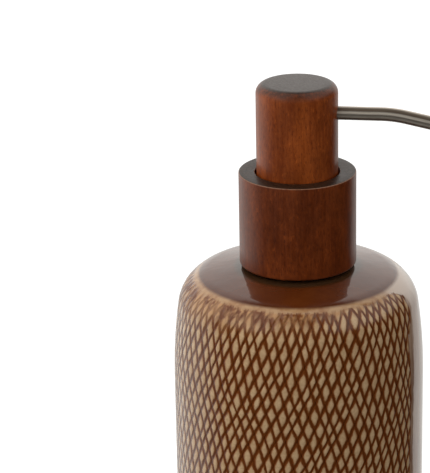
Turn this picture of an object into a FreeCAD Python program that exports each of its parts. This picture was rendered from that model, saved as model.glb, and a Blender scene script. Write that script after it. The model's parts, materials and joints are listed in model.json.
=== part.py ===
"""Soap pump dispenser: a stoneware bottle with a threaded neck, a lotion pump under a turned wooden
collar and a turned wooden head, and a bent steel spout.

Frame: origin at the centre of the foot ring, +Z up along the bottle's axis, +X along the spout.
Millimetres and degrees. Outlines are drawn in the (radius, height) half plane and turned about Z.
"""
import FreeCAD
import Part
import math
import os

Vec = FreeCAD.Vector

# ---- driving dimensions -------------------------------------------------------------------------
TOTAL_HEIGHT = 180.0
COLLAR_RADIUS = 19.6
COLLAR_HEIGHT = 32.1
HEAD_RADIUS = 13.6
HEAD_SHOWING = 30.3                 # head above the collar, pump up
HEAD_EDGE_RADIUS = 3.4
STROKE = 12.0                       # travel of the head
SPOUT_RADIUS = 2.25
SPOUT_BELOW_TOP = 10.0
SPOUT_WALL = 0.5

# ---- bottle ---------------------------------------------------------------------------------------
WALL = 4.5
COLLAR_GAP = 1.1                    # collar's underside above the shoulder, at the collar's edge
SHOULDER_SLOPE_IN = 8.8             # slope of the shoulder under the collar's edge
SHOULDER_SLOPE_OUT = 11.4           # slope where the corner starts
SHOULDER_RADIUS = 242.4
CORNER_RADIUS = 12.8
SIDE_SLOPE = 81.7                   # slope where the corner meets the side
SIDE_RADIUS = 181.0
WAIST_BOTTOM = 40.0                 # the side is upright down to here
LOWER_SIDE_RADIUS = 230.0
LOWER_SIDE_SLOPE = 97.2
LOWER_CORNER_RADIUS = 10.0
LOWER_CORNER_SLOPE = 172.0
FOOT_OUTER, FOOT_INNER = 31.4, 27.5
FOOT_RECESS = 1.4
FOOT_EDGE = 0.5
NECK_RADIUS = 11.9
NECK_BORE = 9.0
NECK_HEIGHT = 10.6
NECK_FILLET = 1.4
NECK_LIP = 0.8

# ---- neck thread ------------------------------------------------------------------------------------
THREAD_PITCH = 4.0
THREAD_TURNS = 1.25
THREAD_START = 2.9                  # centre of the ridge's low end above the neck's foot
NECK_RIDGE = (1.0, 2.0, 1.0)        # height, width at the root, width at the crest
CAP_RIDGE = (0.95, 1.6, 0.8)
RIDGE_SPACING = 1.4                 # cap's ridge below the neck's
ROOT_BITE = 0.3                     # how deep a ridge is rooted in its wall

# ---- closure, gasket and collar ---------------------------------------------------------------------
CLEAR = 0.02                        # fixed pieces that touch
GASKET_THICKNESS = 1.2
FLANGE_THICKNESS = 1.5
FLANGE_RADIUS = 12.4
CAP_RADIUS, CAP_BORE = 14.6, 13.2
CAP_PLATE = 1.5
CAP_HOLE = 8.1
CAP_RIBS = 36
CAP_RIB_GROOVE = 0.35
COLLAR_BORE = 14.15                 # round the head
COLLAR_SEAT = 14.65                 # round the cap
COLLAR_TOP_CHAMFER = 0.35
COLLAR_FOOT_ROUND = 0.9

# ---- pump engine --------------------------------------------------------------------------------------
BARREL_RADIUS, BARREL_BORE = 7.0, 5.75
BARREL_BOTTOM_Z = 93.0
SHANK_RADIUS, SHANK_LENGTH = 8.3, 7.0
TOWER_RADIUS, TOWER_HEIGHT, TOWER_BEAD = 7.6, 4.2, 0.25
VENT_RADIUS, VENT_DEPTH = 0.5, 4.5   # air hole into the shank, below the flange
LOCK_RADIUS, LOCK_SKIRT_BORE, LOCK_PLATE = 8.9, 8.0, 1.6
LOCK_SLEEVE = 5.55
LOCK_SLEEVE_DEPTH = 8.6
STEM_RADIUS, STEM_BORE = 3.5, 2.6
STEM_SOCKET_DEPTH = 10.0
STEM_BEAD = 0.25                    # snap bead that holds the head on and lets it swivel
RUNNING = 0.04                      # radial clearance of a sliding or turning fit
STOP_GAP = 0.2
SEAL_HEIGHT = 1.4
PISTON_PLAY = 1.25                  # gap above the piston, whose slip on its rod opens the outlet
PISTON_HEIGHT = 6.0
SEAT_HEIGHT = 1.45
SPRING_WIRE = 0.8
SPRING_MEAN_RADIUS = 4.85
SPRING_TURNS = 7.0
BALL_RADIUS = 2.4
BALL_LIFT = 1.5
RETAINER_FLANGE = 5.5
TUBE_RADIUS, TUBE_BORE = 3.5, 2.5
TUBE_SOCKET_DEPTH = 8.0
TUBE_ABOVE_FLOOR = 3.0
TUBE_TIP_CUT = 3.5

# ---- head and spout -------------------------------------------------------------------------------------
HEAD_SKIRT = 3.2                    # head below the collar's top, pump up
HEAD_MOUTH_BORE, HEAD_MOUTH_DEPTH = 10.2, 9.5
HEAD_CORE_BORE, HEAD_ROOF = 8.05, 6.0
INSERT_RADIUS = 8.0
INSERT_FLANGE = 10.15
INSERT_FLANGE_RISE = 2.3            # flange's underside above the head's foot; meets the lock collar
INSERT_FLANGE_THICKNESS = 2.0
INSERT_RIBS = 6
SPOUT_ROOT_X = 2.6
SPOUT_CORNER_X = 32.0               # where the two first runs of the spout would meet
SPOUT_RUN, SPOUT_TIP = 20.5, 12.0   # corner to corner, and last corner to the outlet
SPOUT_DROOP, SPOUT_TURN = 12.0, 55.0    # angle below the level after each bend
SPOUT_BEND_RADII = (40.0, 12.0)

# ---- heights that follow from those -----------------------------------------------------------------
COLLAR_TOP = TOTAL_HEIGHT - HEAD_SHOWING
COLLAR_FOOT = COLLAR_TOP - COLLAR_HEIGHT
SHOULDER_AT_COLLAR = COLLAR_FOOT - COLLAR_GAP
HEAD_FOOT = COLLAR_TOP - HEAD_SKIRT
SPOUT_Z = TOTAL_HEIGHT - SPOUT_BELOW_TOP
NECK_FOOT = SHOULDER_AT_COLLAR + 0.9
NECK_TOP = NECK_FOOT + NECK_HEIGHT
FLANGE_FOOT = NECK_TOP + GASKET_THICKNESS + CLEAR
FLANGE_TOP = FLANGE_FOOT + FLANGE_THICKNESS
PLATE_FOOT = FLANGE_TOP + 0.1
PLATE_TOP = PLATE_FOOT + CAP_PLATE
TOWER_TOP = FLANGE_TOP + TOWER_HEIGHT
LOCK_TOP = TOWER_TOP + 0.1 + LOCK_PLATE
SLEEVE_FOOT = TOWER_TOP - LOCK_SLEEVE_DEPTH
STEM_STOP_TOP = SLEEVE_FOOT - STOP_GAP
STEM_FOOT = STEM_STOP_TOP - 3.5
STEM_TOP = HEAD_FOOT + INSERT_FLANGE_RISE + STEM_SOCKET_DEPTH + 4.2
BEAD_Z = STEM_TOP - 3.0
PISTON_TOP = STEM_FOOT - PISTON_PLAY
PISTON_FOOT = PISTON_TOP - PISTON_HEIGHT
ROD_FOOT = PISTON_FOOT - 1.2
SPRING_FOOT = BARREL_BOTTOM_Z + 0.9
SPRING_TOP = ROD_FOOT - CLEAR
BALL_Z = BARREL_BOTTOM_Z - 4.49


class Outline:
    """A closed outline in the (radius, height) half plane, built edge by edge."""

    def __init__(self, r, z):
        self.start = self.at = (r, z)
        self.edges = []

    def line(self, r, z):
        if math.dist(self.at, (r, z)) > 1e-6:
            self.edges.append(Part.makeLine(Vec(self.at[0], 0, self.at[1]), Vec(r, 0, z)))
            self.at = (r, z)
        return self

    def arc(self, centre, end, bulge):
        """Round centre to end, through the point at the angle bulge from centre."""
        size = math.dist(centre, self.at)
        middle = (centre[0] + size * math.cos(math.radians(bulge)),
                  centre[1] + size * math.sin(math.radians(bulge)))
        points = [Vec(p[0], 0, p[1]) for p in (self.at, middle, end)]
        self.edges.append(Part.Arc(*points).toShape())
        self.at = end
        return self

    def slope_arc(self, slope_from, slope_to, radius):
        """A convex arc whose downhill slope goes from one angle to another, seen from outside."""
        a, b = math.radians(slope_from), math.radians(slope_to)
        centre = (self.at[0] - radius * math.sin(a), self.at[1] - radius * math.cos(a))
        end = (centre[0] + radius * math.sin(b), centre[1] + radius * math.cos(b))
        return self.arc(centre, end, 90 - (slope_from + slope_to) / 2)

    def turn(self):
        self.line(*self.start)
        face = Part.Face(Part.Wire(self.edges))
        return face.revolve(Vec(0, 0, 0), Vec(0, 0, 1), 360)


def outline(*points):
    """The solid turned from a plain polygon of (radius, height) points."""
    shape = Outline(*points[0])
    for point in points[1:]:
        shape.line(*point)
    return shape.turn()


def tube(outer, inner, low, high):
    body = Part.makeCylinder(outer, high - low, Vec(0, 0, low))
    return body.cut(Part.makeCylinder(inner, high - low + 2, Vec(0, 0, low - 1))) if inner else body


def ridge(wall_radius, height, root, crest, outward, start_z, turns, start_angle):
    """One helical thread ridge on a wall, rooted ROOT_BITE deep in it."""
    side = 1 if outward else -1
    foot, top = wall_radius - side * ROOT_BITE, wall_radius + side * height
    flare = root / 2 + ROOT_BITE * (root - crest) / (2 * height)
    corners = [Vec(foot, 0, -flare), Vec(foot, 0, flare), Vec(top, 0, crest / 2), Vec(top, 0, -crest / 2)]
    profile = Part.makePolygon(corners + corners[:1])
    helix = Part.makeHelix(THREAD_PITCH, THREAD_PITCH * turns, wall_radius)
    solid = Part.Wire(helix.Edges).makePipeShell([profile], True, True)
    solid.rotate(Vec(0, 0, 0), Vec(0, 0, 1), start_angle)
    solid.translate(Vec(0, 0, start_z))
    return solid


def shoulder_outline(shape, inset):
    """The bottle's outside from the shoulder down to the lower corner, or its inside at a depth."""
    shape.slope_arc(shape.slope, SHOULDER_SLOPE_OUT, SHOULDER_RADIUS - inset)
    shape.slope_arc(SHOULDER_SLOPE_OUT, SIDE_SLOPE, CORNER_RADIUS - inset)
    shape.slope_arc(SIDE_SLOPE, 90, SIDE_RADIUS - inset)
    shape.line(shape.at[0], WAIST_BOTTOM)
    shape.slope_arc(90, LOWER_SIDE_SLOPE, LOWER_SIDE_RADIUS - inset)
    return shape


def shoulder_start(inset, radius_here):
    """Where the shoulder's arc, at a depth, is at a radius: its slope there, and the height."""
    slope = math.radians(SHOULDER_SLOPE_IN)
    centre_r = COLLAR_RADIUS - SHOULDER_RADIUS * math.sin(slope)
    centre_z = SHOULDER_AT_COLLAR - SHOULDER_RADIUS * math.cos(slope)
    reach = SHOULDER_RADIUS - inset
    angle = math.asin((radius_here - centre_r) / reach)
    return math.degrees(angle), centre_z + reach * math.cos(angle)


def bottle():
    """Slip-cast stoneware: neck with one cast thread, sloping shoulder, soft corners, foot ring."""
    fillet_slope, fillet_z = shoulder_start(-NECK_FILLET, NECK_RADIUS + NECK_FILLET)
    fillet = (NECK_RADIUS + NECK_FILLET, fillet_z)
    a = math.radians(fillet_slope)
    shape = Outline(NECK_BORE + NECK_LIP, NECK_TOP)
    shape.line(NECK_RADIUS - NECK_LIP, NECK_TOP)
    shape.arc((NECK_RADIUS - NECK_LIP, NECK_TOP - NECK_LIP), (NECK_RADIUS, NECK_TOP - NECK_LIP), 45)
    shape.line(NECK_RADIUS, fillet_z)
    shape.arc(fillet, (fillet[0] - NECK_FILLET * math.sin(a), fillet[1] - NECK_FILLET * math.cos(a)), 225)
    shape.slope = fillet_slope
    shoulder_outline(shape, 0)
    shape.slope_arc(LOWER_SIDE_SLOPE, LOWER_CORNER_SLOPE, LOWER_CORNER_RADIUS)
    shape.line(FOOT_OUTER + FOOT_EDGE, FOOT_EDGE)
    shape.arc((FOOT_OUTER, FOOT_EDGE), (FOOT_OUTER, 0), -45)
    shape.line(FOOT_INNER + FOOT_EDGE, 0)
    shape.arc((FOOT_INNER + FOOT_EDGE, FOOT_EDGE), (FOOT_INNER, FOOT_EDGE), -135)
    shape.line(FOOT_INNER - FOOT_RECESS, FOOT_RECESS).line(0, FOOT_RECESS)
    body = Part.Face(Part.Wire((shape.line(0, NECK_TOP).line(*shape.start)).edges))
    body = body.revolve(Vec(0, 0, 0), Vec(0, 0, 1), 360)
    body = body.fuse(ridge(NECK_RADIUS, *NECK_RIDGE, True, NECK_FOOT + THREAD_START, THREAD_TURNS, 0))
    return body.cut(cavity()).removeSplitter()


def cavity():
    """The inside of the bottle and its neck."""
    mouth_slope, mouth_z = shoulder_start(WALL, NECK_BORE + 1.5)
    shape = Outline(NECK_BORE + NECK_LIP, NECK_TOP)
    shape.arc((NECK_BORE + NECK_LIP, NECK_TOP - NECK_LIP), (NECK_BORE, NECK_TOP - NECK_LIP), 135)
    shape.line(NECK_BORE, mouth_z + 1.5).line(NECK_BORE + 1.5, mouth_z)
    shape.slope = mouth_slope
    shoulder_outline(shape, WALL)
    shape.slope_arc(LOWER_SIDE_SLOPE, 180, LOWER_CORNER_RADIUS - WALL)
    floor = shape.at[1]
    shape.line(0, floor).line(0, NECK_TOP + 1).line(NECK_BORE + NECK_LIP, NECK_TOP + 1)
    return shape.turn()


def floor_height():
    """Height of the bottle's inside floor."""
    shape = Outline(0, 0)
    shape.at = (NECK_BORE + 1.5, shoulder_start(WALL, NECK_BORE + 1.5)[1])
    shape.slope = shoulder_start(WALL, NECK_BORE + 1.5)[0]
    shoulder_outline(shape, WALL)
    shape.slope_arc(LOWER_SIDE_SLOPE, 180, LOWER_CORNER_RADIUS - WALL)
    return shape.at[1]


def neck_gasket():
    return tube(NECK_RADIUS + 0.2, NECK_BORE + 0.1, NECK_TOP + CLEAR / 2, FLANGE_FOOT - CLEAR / 2)


def closure_cap():
    """Screw cap: ribbed skirt, plate with a hole for the pump's tower, one inside thread."""
    foot = shoulder_start(0, CAP_RADIUS)[1] + 0.6
    skirt = outline((CAP_HOLE, PLATE_FOOT), (CAP_BORE, PLATE_FOOT), (CAP_BORE, foot), (CAP_RADIUS - 0.3, foot),
                    (CAP_RADIUS, foot + 0.3), (CAP_RADIUS, PLATE_TOP - 0.3), (CAP_RADIUS - 0.3, PLATE_TOP),
                    (CAP_HOLE, PLATE_TOP))
    first = 20.0
    low = NECK_FOOT + THREAD_START - RIDGE_SPACING + THREAD_PITCH * first / 360
    skirt = skirt.fuse(ridge(CAP_BORE, *CAP_RIDGE, False, low, THREAD_TURNS - 0.06, first))
    grooves = []
    for k in range(CAP_RIBS):
        groove = Part.makeBox(CAP_RIB_GROOVE * 2, 0.9, PLATE_TOP - foot - 3.0,
                              Vec(CAP_RADIUS - CAP_RIB_GROOVE, -0.45, foot + 1.0))
        groove.rotate(Vec(0, 0, 0), Vec(0, 0, 1), 360.0 * k / CAP_RIBS)
        grooves.append(groove)
    return skirt.cut(Part.makeCompound(grooves))


def wooden_collar():
    """Turned sleeve glued over the cap; its upper bore lets the head down."""
    seat_top = PLATE_TOP + 0.05
    c, foot = COLLAR_TOP_CHAMFER, COLLAR_FOOT_ROUND
    shape = Outline(COLLAR_BORE + c, COLLAR_TOP)
    shape.line(COLLAR_RADIUS - c, COLLAR_TOP).line(COLLAR_RADIUS, COLLAR_TOP - c)
    shape.line(COLLAR_RADIUS, COLLAR_FOOT + foot)
    shape.arc((COLLAR_RADIUS - foot, COLLAR_FOOT + foot), (COLLAR_RADIUS - foot, COLLAR_FOOT), -45)
    shape.line(COLLAR_SEAT + 0.5, COLLAR_FOOT).line(COLLAR_SEAT, COLLAR_FOOT + 0.5)
    shape.line(COLLAR_SEAT, seat_top).line(COLLAR_BORE, seat_top).line(COLLAR_BORE, COLLAR_TOP - c)
    return shape.turn()


def pump_housing():
    """Barrel with flange, tower and air hole above, and the ball seat and dip tube socket below."""
    low = BARREL_BOTTOM_Z
    seat_r, seat_z = 1.6, low - 6.4
    socket_top = seat_z - 1.0
    socket_foot = socket_top - TUBE_SOCKET_DEPTH
    vent = Part.makeCylinder(VENT_RADIUS, BARREL_RADIUS * 2, Vec(0, 0, FLANGE_FOOT - VENT_DEPTH), Vec(1, 0, 0))
    return outline(
        (BARREL_BORE, TOWER_TOP), (TOWER_RADIUS - 0.3, TOWER_TOP), (TOWER_RADIUS, TOWER_TOP - 0.4),
        (TOWER_RADIUS + TOWER_BEAD, TOWER_TOP - 1.1), (TOWER_RADIUS, TOWER_TOP - 1.7),
        (TOWER_RADIUS, FLANGE_TOP), (FLANGE_RADIUS, FLANGE_TOP), (FLANGE_RADIUS, FLANGE_FOOT),
        (SHANK_RADIUS, FLANGE_FOOT), (SHANK_RADIUS, FLANGE_FOOT - SHANK_LENGTH),
        (BARREL_RADIUS, FLANGE_FOOT - SHANK_LENGTH - 1.3), (BARREL_RADIUS, low - 1.0),
        (TUBE_RADIUS + 1.4, low - 6.5), (TUBE_RADIUS + 1.3, socket_foot), (TUBE_RADIUS + 0.4, socket_foot),
        (TUBE_RADIUS + CLEAR, socket_foot + 0.4), (TUBE_RADIUS + CLEAR, socket_top), (seat_r, socket_top),
        (seat_r, seat_z), (seat_r + 1.0, seat_z + 1.4), (BALL_RADIUS + 0.5, seat_z + 1.8),
        (BALL_RADIUS + 0.5, low - 3.5), (4.0, low - 3.5), (4.0, low), (BARREL_BORE, low)).cut(vent)


def lock_collar():
    """Snaps over the tower, stops the stem, and holds the wiper seal in the foot of its sleeve."""
    plate_foot = TOWER_TOP + 0.1
    skirt_foot = PLATE_TOP + 0.15
    seal_r = STEM_RADIUS + 1.3
    seal_top = SLEEVE_FOOT + SEAL_HEIGHT + 0.05
    hole = STEM_RADIUS + RUNNING + 0.05
    return outline(
        (hole, LOCK_TOP), (LOCK_RADIUS - 0.7, LOCK_TOP), (LOCK_RADIUS, LOCK_TOP - 0.7), (LOCK_RADIUS, skirt_foot),
        (LOCK_SKIRT_BORE, skirt_foot), (LOCK_SKIRT_BORE, plate_foot), (LOCK_SLEEVE, plate_foot),
        (LOCK_SLEEVE, SLEEVE_FOOT), (seal_r, SLEEVE_FOOT), (seal_r, seal_top), (hole, seal_top))


def stem_seal():
    """Wiper ring with a waist, round the stem."""
    low, high = SLEEVE_FOOT + 0.02, SLEEVE_FOOT + SEAL_HEIGHT
    inner, outer = STEM_RADIUS + 0.03, STEM_RADIUS + 1.3 - CLEAR
    middle = (low + high) / 2
    return outline((inner, low), (outer, low), (outer, high), (inner, high), (inner + 0.3, middle))


def stem():
    """Hollow stem with its stop collar and the foot that pushes the piston."""
    stop, foot = 5.3, 4.6
    return outline(
        (STEM_BORE, STEM_FOOT), (foot, STEM_FOOT), (foot, STEM_STOP_TOP - 2.0), (stop, STEM_STOP_TOP - 1.7),
        (stop, STEM_STOP_TOP), (STEM_RADIUS, STEM_STOP_TOP), (STEM_RADIUS, BEAD_Z - 0.5),
        (STEM_RADIUS + STEM_BEAD, BEAD_Z), (STEM_RADIUS, BEAD_Z + 0.5), (STEM_RADIUS, STEM_TOP - 0.4),
        (STEM_RADIUS - 0.4, STEM_TOP), (STEM_BORE, STEM_TOP))


def piston_rod():
    """Rod pressed into the stem: four flow flutes above a cone that the piston shuts on."""
    radius = STEM_BORE - CLEAR
    cone_foot = ROD_FOOT + 1.0
    rod = outline((0, ROD_FOOT), (4.8, ROD_FOOT), (5.0, ROD_FOOT + 0.3), (5.0, cone_foot), (4.6, cone_foot),
                  (radius + 0.4, cone_foot + SEAT_HEIGHT), (radius, cone_foot + SEAT_HEIGHT),
                  (radius, STEM_FOOT + 6.0), (radius - 0.5, STEM_FOOT + 6.5), (0, STEM_FOOT + 6.5))
    flutes = []
    for k in range(4):
        flute = Part.makeBox(3.0, 1.5, STEM_FOOT + 7.5 - cone_foot - SEAT_HEIGHT,
                             Vec(1.3, -0.75, cone_foot + SEAT_HEIGHT))
        flute.rotate(Vec(0, 0, 0), Vec(0, 0, 1), 90.0 * k)
        flutes.append(flute)
    return rod.cut(Part.makeCompound(flutes))


def piston():
    """Soft piston with two wiping lips; its foot rests on the rod's cone."""
    wall = BARREL_BORE - 0.03
    inner = STEM_BORE + 0.6
    # the rod's cone, and where it is at the radius of the piston's foot
    cone_foot, cone_top_r = ROD_FOOT + 1.0, STEM_BORE - CLEAR + 0.4
    rise = SEAT_HEIGHT * (4.6 - inner) / (4.6 - cone_top_r)
    foot = cone_foot + rise + 0.03
    return outline(
        (inner, foot), (inner + 0.9, foot - 0.25), (inner + 1.3, foot + 0.5), (wall, foot - 0.1),
        (wall, foot + 0.5), (wall - 0.9, foot + 1.6), (wall - 0.9, PISTON_TOP - 1.6), (wall, PISTON_TOP - 0.5),
        (wall, PISTON_TOP + 0.0), (wall - 0.7, PISTON_TOP - 0.6), (inner + 1.0, PISTON_TOP - 0.6),
        (inner + 0.8, PISTON_TOP), (inner, PISTON_TOP))


def return_spring():
    """Round wire coil with ground ends."""
    rise = SPRING_TOP - SPRING_FOOT
    pitch = (rise + SPRING_WIRE * 0.2) / SPRING_TURNS
    helix = Part.makeHelix(pitch, pitch * SPRING_TURNS, SPRING_MEAN_RADIUS)
    wire = Part.Wire(Part.makeCircle(SPRING_WIRE / 2, Vec(SPRING_MEAN_RADIUS, 0, 0), Vec(0, 1, 0)))
    coil = Part.Wire(helix.Edges).makePipeShell([wire], True, True)
    coil.translate(Vec(0, 0, SPRING_FOOT - SPRING_WIRE * 0.1))
    ground = Part.makeCylinder(BARREL_BORE, rise, Vec(0, 0, SPRING_FOOT))
    return coil.common(ground)


def check_ball():
    return Part.makeSphere(BALL_RADIUS, Vec(0, 0, BALL_Z))


def ball_retainer():
    """Crown that limits the ball's lift; the spring stands on its flange."""
    low = BARREL_BOTTOM_Z
    roof = BALL_Z + BALL_RADIUS + BALL_LIFT + 0.05
    crown = outline(
        (BALL_RADIUS + 0.55, low - 3.4), (3.95, low - 3.4), (3.95, low + 0.05), (RETAINER_FLANGE, low + 0.05),
        (RETAINER_FLANGE, low + 0.85), (3.9, low + 0.85), (3.6, roof + 1.6), (1.5, roof + 1.6), (1.5, roof),
        (BALL_RADIUS + 0.55, roof))
    slots = []
    for k in range(2):
        slot = Part.makeBox(9.0, 1.4, 1.7, Vec(-4.5, -0.7, roof + 0.6))
        slot.rotate(Vec(0, 0, 0), Vec(0, 0, 1), 90.0 * k)
        slots.append(slot)
    return crown.cut(Part.makeCompound(slots))


def dip_tube():
    """Straight tube, cut aslant at its foot."""
    top = BARREL_BOTTOM_Z - 6.4 - 1.0 - 0.3
    foot = floor_height() + TUBE_ABOVE_FLOOR
    body = tube(TUBE_RADIUS, TUBE_BORE, foot, top)
    corners = [Vec(-5, -5, foot - 1), Vec(5, -5, foot - 1), Vec(5, -5, foot + TUBE_TIP_CUT * 5 / TUBE_RADIUS)]
    wedge = Part.Face(Part.makePolygon(corners + corners[:1])).extrude(Vec(0, 10, 0))
    return body.cut(wedge)


def actuator_insert():
    """Plastic core of the head: flange, ribs, stem socket, riser and spout bore."""
    flange_foot = HEAD_FOOT + INSERT_FLANGE_RISE
    flange_top = flange_foot + INSERT_FLANGE_THICKNESS
    step = HEAD_FOOT + HEAD_MOUTH_DEPTH
    roof = TOTAL_HEIGHT - HEAD_ROOF
    core = outline((0, flange_foot), (INSERT_FLANGE, flange_foot), (INSERT_FLANGE, flange_top),
                   (6.4, flange_top), (6.4, step - 0.05), (INSERT_RADIUS, step - 0.05), (INSERT_RADIUS, roof - 1.2),
                   (INSERT_RADIUS - 0.8, roof - 0.4), (0, roof - 0.4))
    ribs = []
    for k in range(INSERT_RIBS):
        rib = Part.makeBox(INSERT_FLANGE - 6.2 - 0.3, 1.2, step - 0.05 - flange_top + 0.1,
                           Vec(6.2, -0.6, flange_top - 0.1))
        rib.rotate(Vec(0, 0, 0), Vec(0, 0, 1), 360.0 * k / INSERT_RIBS)
        ribs.append(rib)
    core = core.fuse(ribs)
    fit = STEM_RADIUS + RUNNING
    socket = outline((0, flange_foot - 1), (fit, flange_foot - 1), (fit, BEAD_Z - 0.55),
                     (fit + STEM_BEAD, BEAD_Z - 0.05), (fit + STEM_BEAD, BEAD_Z + 0.05), (fit, BEAD_Z + 0.55),
                     (fit, STEM_TOP + 0.2), (0, STEM_TOP + 0.2))
    riser = Part.makeCylinder(2.2, SPOUT_Z + 1.2 - STEM_TOP, Vec(0, 0, STEM_TOP))
    outlet = Part.makeCylinder(SPOUT_RADIUS + CLEAR, INSERT_RADIUS, Vec(SPOUT_ROOT_X - 0.1, 0, SPOUT_Z), Vec(1, 0, 0))
    bridge = Part.makeCylinder(SPOUT_RADIUS - SPOUT_WALL, SPOUT_ROOT_X + 0.5, Vec(0, 0, SPOUT_Z), Vec(1, 0, 0))
    return core.cut(socket.fuse([riser, outlet, bridge]))


def wooden_head():
    """Turned wooden head, bored from below, with the spout's hole in its side."""
    edge = HEAD_EDGE_RADIUS
    foot_round = 0.5
    shape = Outline(0, TOTAL_HEIGHT).line(HEAD_RADIUS - edge, TOTAL_HEIGHT)
    shape.arc((HEAD_RADIUS - edge, TOTAL_HEIGHT - edge), (HEAD_RADIUS, TOTAL_HEIGHT - edge), 45)
    shape.line(HEAD_RADIUS, HEAD_FOOT + foot_round)
    shape.arc((HEAD_RADIUS - foot_round, HEAD_FOOT + foot_round), (HEAD_RADIUS - foot_round, HEAD_FOOT), -45)
    shape.line(HEAD_MOUTH_BORE + 0.4, HEAD_FOOT).line(HEAD_MOUTH_BORE, HEAD_FOOT + 0.4)
    step = HEAD_FOOT + HEAD_MOUTH_DEPTH
    shape.line(HEAD_MOUTH_BORE, step).line(HEAD_CORE_BORE, step)
    shape.line(HEAD_CORE_BORE, TOTAL_HEIGHT - HEAD_ROOF).line(0, TOTAL_HEIGHT - HEAD_ROOF)
    hole = Part.makeCylinder(SPOUT_RADIUS + 0.2, HEAD_RADIUS, Vec(5, 0, SPOUT_Z), Vec(1, 0, 0))
    return shape.turn().cut(hole)


def spout_path():
    """Two bends in the XZ plane: straight runs joined by tangent arcs."""
    droop, turn = math.radians(SPOUT_DROOP), math.radians(SPOUT_TURN)
    first = Vec(SPOUT_CORNER_X, 0, SPOUT_Z)
    second = first + Vec(math.cos(droop), 0, -math.sin(droop)) * SPOUT_RUN
    corners = [Vec(SPOUT_ROOT_X, 0, SPOUT_Z), first, second,
               second + Vec(math.cos(turn), 0, -math.sin(turn)) * SPOUT_TIP]
    edges, at = [], corners[0]
    for before, corner, after, radius in zip(corners, corners[1:], corners[2:], SPOUT_BEND_RADII):
        into = (corner - before).normalize()
        out = (after - corner).normalize()
        half = into.getAngle(out) / 2
        reach = radius * math.tan(half)
        begin, end = corner - into * reach, corner + out * reach
        inward = (out - into).normalize()
        middle = corner + inward * (radius / math.cos(half) - radius)
        edges += [Part.makeLine(at, begin), Part.Arc(begin, middle, end).toShape()]
        at = end
    edges.append(Part.makeLine(at, corners[-1]))
    return Part.Wire(edges)


def spout_tube():
    """Bent steel tube."""
    path = spout_path()

    def swept(radius):
        ring = Part.Wire(Part.makeCircle(radius, Vec(SPOUT_ROOT_X, 0, SPOUT_Z), Vec(1, 0, 0)))
        return path.makePipeShell([ring], True, False)

    return swept(SPOUT_RADIUS).cut(swept(SPOUT_RADIUS - SPOUT_WALL))


PIECES = {
    "bottle": bottle,
    "neck_gasket": neck_gasket,
    "closure_cap": closure_cap,
    "wooden_collar": wooden_collar,
    "pump_housing": pump_housing,
    "lock_collar": lock_collar,
    "stem_seal": stem_seal,
    "stem": stem,
    "piston_rod": piston_rod,
    "piston": piston,
    "return_spring": return_spring,
    "check_ball": check_ball,
    "ball_retainer": ball_retainer,
    "dip_tube": dip_tube,
    "actuator_insert": actuator_insert,
    "wooden_head": wooden_head,
    "spout_tube": spout_tube,
}


def main():
    os.makedirs("parts", exist_ok=True)
    for name, build in PIECES.items():
        shape = build()
        solids = shape.Solids
        box = shape.BoundBox
        print(f"{name:16s} solids {len(solids)} valid {shape.isValid()} volume {shape.Volume:9.1f} "
              f"r {box.XMax:6.2f} z {box.ZMin:7.2f} {box.ZMax:7.2f}")
        (solids[0] if len(solids) == 1 else Part.makeCompound(solids)).exportStep(f"parts/{name}.step")


main()
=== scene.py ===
"""Looks of the soap pump dispenser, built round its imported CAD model. Metres, in the row frame."""
import json
import math

import bmesh
import bpy
import numpy as np
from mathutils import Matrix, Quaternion, Vector, noise


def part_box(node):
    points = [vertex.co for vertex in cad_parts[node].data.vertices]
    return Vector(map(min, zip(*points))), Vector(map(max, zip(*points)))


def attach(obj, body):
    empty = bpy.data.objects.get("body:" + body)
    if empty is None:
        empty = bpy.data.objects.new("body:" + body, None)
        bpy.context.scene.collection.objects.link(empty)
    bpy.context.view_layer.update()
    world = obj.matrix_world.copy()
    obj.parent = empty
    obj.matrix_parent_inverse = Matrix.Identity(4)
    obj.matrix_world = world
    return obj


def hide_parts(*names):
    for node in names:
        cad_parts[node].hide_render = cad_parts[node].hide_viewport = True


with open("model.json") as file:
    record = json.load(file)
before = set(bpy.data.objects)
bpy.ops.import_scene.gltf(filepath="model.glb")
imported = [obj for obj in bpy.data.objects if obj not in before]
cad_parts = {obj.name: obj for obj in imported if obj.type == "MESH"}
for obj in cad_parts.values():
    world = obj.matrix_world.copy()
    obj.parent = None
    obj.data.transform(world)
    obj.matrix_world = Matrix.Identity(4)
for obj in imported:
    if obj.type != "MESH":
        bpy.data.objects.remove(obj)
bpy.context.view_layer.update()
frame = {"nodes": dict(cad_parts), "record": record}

scene = bpy.context.scene
MM = 0.001

# ---- the bottle's outline, as in the CAD source (millimetres and degrees) --------------------------
COLLAR_RADIUS = 19.6
SHOULDER_Z = 116.5
SHOULDER_SLOPE_IN, SHOULDER_SLOPE_OUT, SHOULDER_RADIUS = 8.8, 11.4, 242.4
CORNER_RADIUS, SIDE_SLOPE, SIDE_RADIUS = 12.8, 81.7, 181.0
WAIST_BOTTOM = 40.0
LOWER_SIDE_RADIUS, LOWER_SIDE_SLOPE = 230.0, 97.2
LOWER_CORNER_RADIUS, LOWER_CORNER_SLOPE = 10.0, 172.0
WALL = 4.5
FOOT_OUTER, FOOT_INNER, FOOT_EDGE, FOOT_RECESS = 31.4, 27.5, 0.5, 1.4
NECK_RADIUS, NECK_BORE, NECK_LIP, NECK_FILLET = 11.9, 9.0, 0.8, 1.4
NECK_FOOT, NECK_TOP = 117.4, 128.0
THREAD_START, THREAD_PITCH, THREAD_TURNS, THREAD_HEIGHT = 2.9, 4.0, 1.25, 1.0
THREAD_CREST, THREAD_FLANK = 1.55, 0.72     # how flat the ridge's top is, and its flank's width
THREAD_PAST, THREAD_TAPER = 0.04, 0.05      # turns past each end, and over which the ridge dies away

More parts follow.
